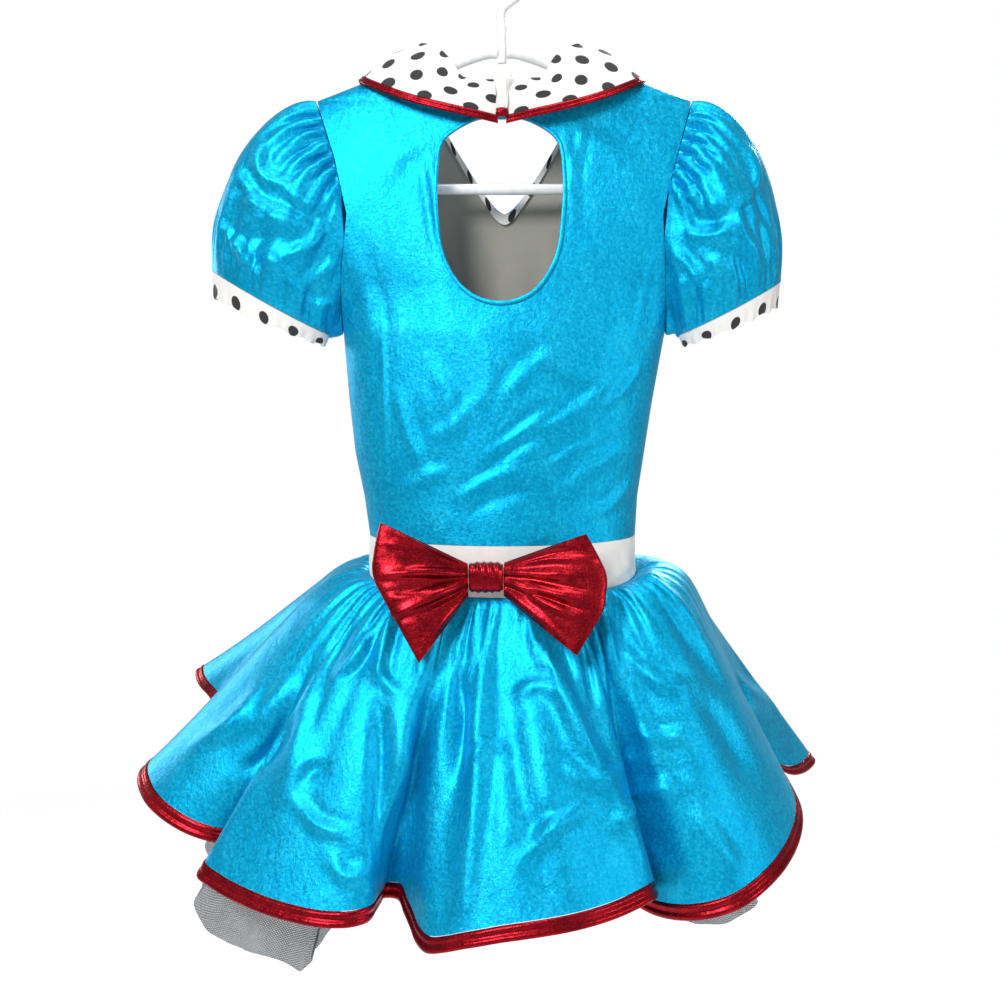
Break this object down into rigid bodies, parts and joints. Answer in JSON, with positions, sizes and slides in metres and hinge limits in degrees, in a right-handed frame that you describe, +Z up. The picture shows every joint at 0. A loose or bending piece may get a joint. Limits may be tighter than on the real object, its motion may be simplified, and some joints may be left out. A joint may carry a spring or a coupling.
{
  "type": "waitress costume on a hanger",
  "caption": "Short-sleeved velour waitress dress with dotted collar and cuffs, white waistband, foil bow at the back, flared bound skirt and net petticoat, hung on a tube hanger.",
  "frame": {"origin": "inner top of the hanger's hook, where a rod carries it", "axes": "+Z up, +X to the right of the pictured side, +Y away from it, so the back of the dress faces -Y"},
  "size_m": [0.665, 0.4149, 0.9235],
  "materials": {
    "velour": "shiny velour, azure",
    "dotted_cotton": "matt white cotton with black dots",
    "white_cotton": "matt white cotton",
    "lining": "plain pale lining",
    "red_foil": "red foil cloth with a fine sparkle",
    "net": "grey net",
    "hanger_plastic": "smooth white"
  },
  "bodies": {
    "root": {"bodice_front": "velour", "bodice_back": "velour", "keyhole_binding": "velour", "front_lining": "lining", "front_neck_binding": "dotted_cotton", "collar_left": "dotted_cotton", "collar_right": "dotted_cotton", "collar_trim_left": "red_foil", "collar_trim_right": "red_foil", "collar_loop": "white_cotton", "collar_tip": "red_foil", "sleeve_left": "velour", "sleeve_right": "velour", "cuff_left": "dotted_cotton", "cuff_right": "dotted_cotton", "waistband": "white_cotton", "bow_left": "red_foil", "bow_right": "red_foil", "bow_knot": "red_foil", "skirt_back": "velour", "skirt_front": "velour", "hem_back": "red_foil", "hem_front": "red_foil", "petticoat": "net", "hanger_arm_left": "hanger_plastic", "hanger_arm_right": "hanger_plastic", "hanger_bar": "hanger_plastic", "hanger_hook": "hanger_plastic"}
  },
  "joints": []
}
